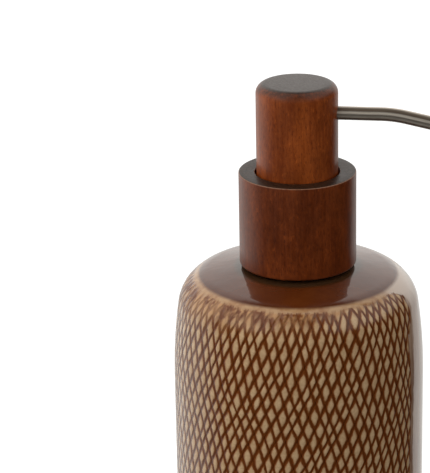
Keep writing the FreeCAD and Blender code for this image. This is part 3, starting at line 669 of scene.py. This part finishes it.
def wood(offset, light, dark, end_gloss, edge, edge_from, edge_soft):
    """Stained close-grained wood under satin lacquer: upright fibres, flecks, and pores on end grain.

    The colour turns to edge where the surface turns up past edge_from, over edge_soft: on the collar this is
    a painted highlight along its top's rounded edge, on the head a darker rounding."""
    def build(k):
        place = k.node("ShaderNodeTexCoord").outputs["Object"]
        moved = k.node("ShaderNodeVectorMath", {0: place, 1: offset}, operation="ADD").outputs[0]
        fibre = k.noise(k.stretch(moved, (1, 1, 0.06)), 1400, 4, 0.65)
        band = k.noise(k.stretch(moved, (1, 1, 0.15)), 190, 2, 0.5, 0.4)
        fleck = k.noise(k.stretch(moved, (1, 1, 0.3)), 2300, 2, 0.5)
        speck = k.noise(k.stretch(moved, (1, 1, 0.45)), 1150, 3, 0.65)
        cloud = k.noise(k.stretch(moved, (1, 1, 0.6)), 110, 3, 0.6)
        tone = k.math("ADD", k.math("MULTIPLY", fibre, 0.35), k.math("MULTIPLY", band, 0.35))
        tone = k.math("ADD", tone, k.math("MULTIPLY", speck, 0.3))
        colour = k.mix(k.ramp(tone, 0.38, 0.62), dark, light)
        colour = k.mix(k.ramp(fleck, 0.54, 0.68, 0, 0.5), colour, tuple(0.35 * c for c in dark))
        colour = k.mix(k.ramp(speck, 0.6, 0.72, 0, 0.5), colour, tuple(1.5 * c for c in light))
        colour = k.mix(k.ramp(cloud, 0.35, 0.65, 0.0, 0.45), colour, tuple(0.6 * c for c in dark))
        facing = k.node("ShaderNodeNewGeometry").outputs["Normal"]
        up = k.split(facing)[2]
        cut = k.ramp(k.math("ABSOLUTE", up), 0.8, 0.98)
        # painted highlight on the collar's rounded top edge, and a darker rounding on the head, where the
        # surface turns up
        edge_sheen_and_dark = k.ramp(k.math("MULTIPLY_ADD", cloud, 0.3, up), edge_from, edge_from + edge_soft)
        edge_sheen_and_dark = k.math("MULTIPLY", edge_sheen_and_dark, k.ramp(speck, 0.25, 0.6, 0.35, 1.0))
        pores = k.noise(moved, 1500, 3, 0.65)
        end = k.mix(k.ramp(pores, 0.38, 0.62), END_PORE, END_GRAIN)
        colour = k.mix(edge_sheen_and_dark, colour, edge)
        colour = k.mix(cut, colour, end)
        rough = k.math("ADD", k.ramp(fibre, 0.3, 0.7, 0.27, 0.38), k.math("MULTIPLY", pores, 0.04))
        height = k.math("ADD", k.math("MULTIPLY", fibre, 0.6), k.math("MULTIPLY", fleck, -0.4))
        normal = k.bump(height, 0.00008, 0.5)
        return {"Base Color": colour, "Roughness": rough, "Normal": normal, "IOR": 1.48,
                "Specular IOR Level": k.ramp(cut, 0, 1, 0.4, end_gloss),
                "Coat Weight": k.ramp(cut, 0, 1, 0.06, 0.0), "Coat Roughness": 0.22}
    return build


def lathe_piece(name, points, n=192):
    """A closed turned piece from (radius, height) points that run down the outside and back up inside."""
    skin = Skin()
    rings = []
    for r, z in points:
        rings.append(None if r == 0 else skin.ring(r, z, n))
    for k in range(len(points) - 1):
        if rings[k] and rings[k + 1]:
            skin.band(rings[k], rings[k + 1], (0, 0, 0), (0, 0, 0))
    if rings[0] is None:
        skin.lid(rings[1], points[0][1], True)
        skin.lid(rings[-2], points[-1][1], False)
    else:
        skin.band(rings[-1], rings[0], (0, 0, 0), (0, 0, 0))
    return skin.mesh(name)


def quarter(points, r, z, size, start, end, steps=6):
    """Adds an arc of a round edge about a centre."""
    for k in range(steps + 1):
        t = math.radians(start + (end - start) * k / steps)
        points.append((r + size * math.cos(t), z + size * math.sin(t)))


def fix_shading(me, angle=40):
    """Smooth shading with hard edges where the outline turns sharply."""
    bm = bmesh.new()
    bm.from_mesh(me)
    bmesh.ops.recalc_face_normals(bm, faces=bm.faces)
    for e in bm.edges:
        if len(e.link_faces) == 2 and e.calc_face_angle() > math.radians(angle):
            e.smooth = False
    bm.to_mesh(me)
    bm.free()


# ---- pieces -----------------------------------------------------------------------------------------------
glaze_material = material("glaze_brown", glaze)
build_bottle(glaze_material)

COLLAR_LOW, COLLAR_HIGH = (v[2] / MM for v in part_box("wooden_collar"))
HEAD_LOW, HEAD_HIGH = (v[2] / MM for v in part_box("wooden_head"))
HEAD_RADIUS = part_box("wooden_head")[1][0] / MM
CAP_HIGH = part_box("closure_cap")[1][2] / MM

pts = []
quarter(pts, COLLAR_RADIUS - 0.45, COLLAR_HIGH - 0.45, 0.45, 90, 0)
quarter(pts, COLLAR_RADIUS - 0.9, COLLAR_LOW + 0.9, 0.9, 0, -90, 8)
pts += [(15.15, COLLAR_LOW), (14.65, COLLAR_LOW + 0.5), (14.65, CAP_HIGH + 0.05), (14.15, CAP_HIGH + 0.05)]
quarter(pts, 14.55, COLLAR_HIGH - 0.4, 0.4, 180, 90)
collar_mesh = lathe_piece("wood_collar", pts)
fix_shading(collar_mesh)
# the collar's edge colour is a painted highlight along its top's rounded edge
collar_wood = wood(offset=(0.3, 0.1, 0.2), light=(0.24, 0.048, 0.0065), dark=(0.14, 0.024, 0.003),
                   end_gloss=0.2, edge=(0.27, 0.13, 0.07), edge_from=0.45, edge_soft=0.3)
finish_piece(collar_mesh, "collar", ["wooden_collar"],
             material("wood_collar_stain", collar_wood))

pts = [(0, HEAD_HIGH), (3.0, HEAD_HIGH)]
quarter(pts, HEAD_RADIUS - 3.4, HEAD_HIGH - 3.4, 3.4, 90, 0, 16)
quarter(pts, HEAD_RADIUS - 0.5, HEAD_LOW + 0.5, 0.5, 0, -90)
pts += [(10.6, HEAD_LOW), (10.2, HEAD_LOW + 0.4), (10.2, HEAD_LOW + 9.5), (8.05, HEAD_LOW + 9.5),
        (8.05, HEAD_HIGH - 6.0), (3.0, HEAD_HIGH - 6.0), (0, HEAD_HIGH - 6.0)]
head_mesh = lathe_piece("wood_head", pts)
fix_shading(head_mesh)
head_wood = wood(offset=(0.7, 0.5, 0.9), light=(0.42, 0.092, 0.013), dark=(0.25, 0.045, 0.006),
                 end_gloss=0.5, edge=(0.07, 0.017, 0.004), edge_from=0.18, edge_soft=0.75)
finish_piece(head_mesh, "head", ["wooden_head"], material("wood_head_stain", head_wood))


def spout_path():
    """Points of the spout's centre line: x, z and how far the tube leans down there."""
    droop, turn = math.radians(SPOUT_DROOP), math.radians(SPOUT_TURN)
    corners = [(SPOUT_ROOT_X, SPOUT_Z), (SPOUT_CORNER_X, SPOUT_Z)]
    corners.append((corners[1][0] + SPOUT_RUN * math.cos(droop), corners[1][1] - SPOUT_RUN * math.sin(droop)))
    corners.append((corners[2][0] + SPOUT_TIP * math.cos(turn), corners[2][1] - SPOUT_TIP * math.sin(turn)))
    path = []
    bends = ((1, SPOUT_BEND_RADII[0], 0.0, droop), (2, SPOUT_BEND_RADII[1], droop, turn))
    for k, radius, lean, last in bends:
        back = radius * math.tan((last - lean) / 2)
        x, z = corners[k][0] - back * math.cos(lean), corners[k][1] + back * math.sin(lean)
        start = corners[0] if k == 1 else path[-1][:2]
        for j in range(1 if path else 0, 13):
            path.append((start[0] + (x - start[0]) * j / 12, start[1] + (z - start[1]) * j / 12, lean))
        cx, cz = x - radius * math.sin(lean), z - radius * math.cos(lean)
        for j in range(1, 13):
            t = lean + (last - lean) * j / 12
            path.append((cx + radius * math.sin(t), cz + radius * math.cos(t), t))
    x, z, lean = path[-1]
    for j in range(1, 9):
        path.append((x + (corners[3][0] - x) * j / 8, z + (corners[3][1] - z) * j / 8, lean))
    return path


def spout_mesh(n=48):
    """The bent tube with its bore. Its marks are the run along the tube and the share of a turn round it."""
    skin = Skin()
    path = spout_path()
    def ring(x, z, lean, radius):
        first = len(skin.verts)
        for k in range(n):
            t = 2 * math.pi * k / n
            up = radius * math.cos(t)
            skin.verts.append((x + up * math.sin(lean), -radius * math.sin(t), z + up * math.cos(lean)))
        return list(range(first, first + n))
    def join(a, b, mark_a, mark_b, flip):
        for k in range(n):
            m = (k + 1) % n
            near, far = k / n, (k + 1) / n
            marks = [(mark_a, near, 0), (mark_b, near, 0), (mark_b, far, 0), (mark_a, far, 0)]
            face = [a[k], b[k], b[m], a[m]]
            skin.add(tuple(face[::-1] if flip else face), marks[::-1] if flip else marks)
    run, last = [0.0], path[0]
    for point in path[1:]:
        run.append(run[-1] + math.hypot(point[0] - last[0], point[1] - last[1]))
        last = point
    x, z, lean = path[-1]
    edge = 0.12
    outer = [ring(*p, SPOUT_RADIUS) for p in path[:-1]]
    outer.append(ring(x - edge * math.cos(lean), z + edge * math.sin(lean), lean, SPOUT_RADIUS))
    outer.append(ring(x, z, lean, SPOUT_RADIUS - edge))
    inner = [ring(*p, SPOUT_RADIUS - SPOUT_WALL) for p in path]
    run_out = run + [run[-1] + edge]
    for k in range(len(outer) - 1):
        join(outer[k], outer[k + 1], run_out[k], run_out[k + 1], False)
    for k in range(len(inner) - 1):
        join(inner[k], inner[k + 1], run[k], run[k + 1], True)
    join(outer[-1], inner[-1], run_out[-1], run_out[-1], False)
    join(outer[0], inner[0], 0, 0, True)
    return skin.mesh("spout")


# ---- finishes of the steel and of the pieces that keep their CAD meshes ------------------------------
def plastic(colour, rough, grain):
    """Moulded plastic or rubber with a faint grain."""
    def build(k):
        place = k.node("ShaderNodeTexCoord").outputs["Object"]
        n = k.noise(place, 700, 3, 0.6)
        shade = k.mix(k.noise(place, 120, 2), colour, tuple(0.86 * c for c in colour))
        return {"Base Color": shade, "Roughness": k.ramp(n, 0.3, 0.7, rough - 0.06, rough + 0.06),
                "Normal": k.bump(n, 0.00005, grain)}
    return build


def steel(k):
    """Bright steel with fine lines along x."""
    place = k.node("ShaderNodeTexCoord").outputs["Object"]
    line = k.noise(k.stretch(place, (0.02, 1, 1)), 5200, 3, 0.6)
    cloud = k.noise(place, 160, 2)
    colour = k.mix(line, srgb(178, 170, 158), srgb(128, 120, 110))
    return {"Base Color": colour, "Metallic": 1.0, "Roughness": k.ramp(cloud, 0.3, 0.7, 0.2, 0.3),
            "Normal": k.bump(line, 0.00003, 0.5)}


# painted reflection: how light the streaked steel is painted round the tube, from its top towards the front,
# standing for the room reflected in it
STEEL_REFLECTION_BANDS = ((0, 0.8), (0.045, 0.35), (0.08, 0.03), (0.135, 0.0), (0.155, 0.15), (0.175, 0.75),
               (0.195, 1.0), (0.215, 0.8), (0.24, 0.2), (0.265, 0.4), (0.285, 0.8), (0.31, 0.6),
               (0.345, 0.03), (0.39, 0.3), (0.6, 0.5), (0.8, 0.3), (0.999, 0.8))
STEEL_REFLECTED_LIGHT, STEEL_DARK_STREAK_AND_REFLECTION = (1.0, 0.9, 0.76), (0.11, 0.08, 0.055)


def brushed_with_painted_reflections(k):
    """Steel drawn lengthwise: streaks that run with the tube, over painted reflections in bands round it."""
    along, around, _ = k.split(k.node("ShaderNodeAttribute", attribute_name="marks").outputs["Vector"])
    angle = k.math("MULTIPLY", around, 2 * math.pi)
    lined = k.node("ShaderNodeCombineXYZ", {0: k.math("MULTIPLY", along, 0.012), 1: k.math("COSINE", angle),
                                            2: k.math("SINE", angle)}).outputs[0]
    line = k.noise(lined, 9, 4, 0.65)
    broad = k.noise(lined, 2.6, 2, 0.5)
    shifted = k.math("MULTIPLY_ADD", broad, 0.02, k.math("ADD", around, -0.01))
    reflection_bands = k.node("ShaderNodeValToRGB", {"Fac": shifted})
    stops = reflection_bands.color_ramp.elements
    stops.remove(stops[1])
    for place, tone in STEEL_REFLECTION_BANDS:
        stop = stops[0] if place == 0 else stops.new(place)
        stop.position, stop.color = place, (tone, tone, tone, 1)
    # painted reflection: light and dark bands round the tube stand for the room reflected in the steel
    colour = k.mix(reflection_bands.outputs["Color"], STEEL_DARK_STREAK_AND_REFLECTION, STEEL_REFLECTED_LIGHT)
    colour = k.mix(k.ramp(line, 0.4, 0.65, 0.0, 0.35), colour, STEEL_DARK_STREAK_AND_REFLECTION)
    return {"Base Color": colour, "Metallic": 0.55, "Roughness": k.ramp(line, 0.3, 0.7, 0.34, 0.48),
            "Normal": k.bump(line, 0.00006, 0.6)}


spout_me = spout_mesh()
fix_shading(spout_me)
finish_piece(spout_me, "head", ["spout_tube"], material("spout_steel_painted_reflections", brushed_with_painted_reflections))

FINISHES = {
    "cap_plastic": material("cap_black_plastic", plastic(srgb(46, 40, 36), 0.42, 0.4)),
    "pump_plastic": material("pump_clear_plastic", plastic(srgb(226, 228, 224), 0.35, 0.25)),
    "soft_plastic": material("piston_plastic", plastic(srgb(236, 234, 226), 0.4, 0.2)),
    "seal_rubber": material("seal_rubber", plastic(srgb(212, 210, 204), 0.6, 0.5)),
    "steel": material("brushed_steel", steel),
}
slot_of = {p["node"]: p["material_slot"] for p in frame["record"]["subparts"]}
for name, o in frame["nodes"].items():
    if slot_of[name] in FINISHES:
        o.data.materials[0] = FINISHES[slot_of[name]]

# ---- floor, light and camera -------------------------------------------------------------------------
AZIMUTH, ELEVATION = 7.0, 18.4      # of the camera, round the object
DISTANCE, LENS = 0.80, 183.2
AIM_LEFT, AIM_DOWN, ROLL = 1.97, 1.56, -0.45     # degrees off the collar's top
TARGET = Vector((0, 0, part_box("wooden_collar")[1][2]))
WALL_LIGHT, PANEL_LIGHT, SIDE_LIGHT, GLOSS_TINT = 1.06, 1.0, 0.9, (1.0, 0.97, 0.93)
FRONT_LOW, FRONT_HIGH, KEY_LIGHT = 0.003, 0.06, 0.85
FLOOR_REACH = 8                     # metres each way


def pale(k):
    """The floor's even, faintly glowing grey."""
    return {"Base Color": (0.45, 0.45, 0.45, 1), "Roughness": 0.9, "Specular IOR Level": 0.0,
            "Emission Color": (1, 1, 1, 1), "Emission Strength": 0.75}


def room(k):
    """The light from each direction, as glossy surfaces, matt surfaces and the camera see it."""
    spin = k.node("ShaderNodeVectorRotate", {"Vector": k.node("ShaderNodeTexCoord").outputs["Generated"],
                                             "Axis": (0, 0, 1), "Angle": math.radians(-AZIMUTH)},
                  rotation_type="AXIS_ANGLE")
    x, y, z = k.split(spin.outputs[0])
    flat = k.math("SQRT", k.math("ADD", k.math("MULTIPLY", x, x), k.math("MULTIPLY", y, y)))
    flat = k.math("MAXIMUM", flat, 0.001)
    away, side = k.math("DIVIDE", y, flat), k.math("DIVIDE", x, flat)
    # what glossy surfaces see: a bright wall behind, a soft panel at the left, and little in front
    behind = k.math("MULTIPLY", k.ramp(away, 0.655, 0.675), k.ramp(z, 0.72, 0.9, 1.0, 0.0))
    behind = k.math("MULTIPLY", behind, k.ramp(z, -0.25, 0.1, 0.66, 1.0))
    left = k.math("MULTIPLY", k.ramp(away, -0.4, 0.3), k.ramp(side, -0.1, -0.6))
    left = k.math("MULTIPLY", left, k.ramp(z, 0.6, 0.9, 1.0, 0.0))
    gloss = k.math("MAXIMUM", k.math("MULTIPLY", behind, WALL_LIGHT), k.math("MULTIPLY", left, PANEL_LIGHT))
    above = k.ramp(z, 0.2, 0.5, 0.0, SIDE_LIGHT)
    above = k.math("MULTIPLY", k.ramp(k.math("ABSOLUTE", side), 0.35, 0.7), above)
    gloss = k.math("MAXIMUM", gloss, above)
    gloss = k.math("MAXIMUM", gloss, k.ramp(z, -0.1, 0.7, FRONT_LOW, FRONT_HIGH))
    # what matt surfaces see: a soft room, brighter above and at the left
    soft = k.ramp(z, -0.3, 0.5, 0.1, 0.62)
    key = k.math("MULTIPLY", k.ramp(side, 0.1, -0.95), k.ramp(z, -0.5, 0.1, 0.0, KEY_LIGHT))
    soft = k.math("ADD", soft, key)
    paths = k.node("ShaderNodeLightPath").outputs
    light = k.mix(1.0, gloss, GLOSS_TINT, "MULTIPLY")
    light = k.mix(paths["Is Diffuse Ray"], light, soft)
    light = k.mix(paths["Is Camera Ray"], light, (1, 1, 1))
    back = k.node("ShaderNodeBackground", {"Color": light, "Strength": 1.0})
    k.node("ShaderNodeOutputWorld", {"Surface": back.outputs[0]})


def turned(azimuth, elevation, distance):
    """A place round the collar, its azimuth counted from the camera's, clockwise from above."""
    a, e = math.radians(AZIMUTH + azimuth), math.radians(elevation)
    return TARGET + distance * Vector((math.sin(a) * math.cos(e), -math.cos(a) * math.cos(e), math.sin(e)))


floor_me = bpy.data.meshes.new("floor")
floor_me.from_pydata([(x * FLOOR_REACH, y * FLOOR_REACH, 0) for x, y in ((-1, -1), (1, -1), (1, 1), (-1, 1))],
                     [], [(0, 1, 2, 3)])
floor = bpy.data.objects.new("floor", floor_me)
scene.collection.objects.link(floor)
floor_me.materials.append(material("pale_floor", pale))
floor.visible_glossy = False
floor.visible_diffuse = False

world = bpy.data.worlds.new("studio")
scene.world = world
world.use_nodes = True
room(Nodes(world.node_tree))

camera = bpy.data.objects.new("camera", bpy.data.cameras.new("camera"))
scene.collection.objects.link(camera)
camera.data.lens = LENS
camera.data.clip_start, camera.data.clip_end = 0.01, 50
camera.location = turned(0, ELEVATION, DISTANCE)
look = (TARGET - camera.location).to_track_quat("-Z", "Y")
aim = Quaternion((0, 1, 0), math.radians(AIM_LEFT)) @ Quaternion((1, 0, 0), math.radians(-AIM_DOWN))
camera.rotation_mode = "QUATERNION"
camera.rotation_quaternion = look @ aim @ Quaternion((0, 0, 1), math.radians(ROLL))
scene.camera = camera
scene.view_settings.view_transform = "Standard"
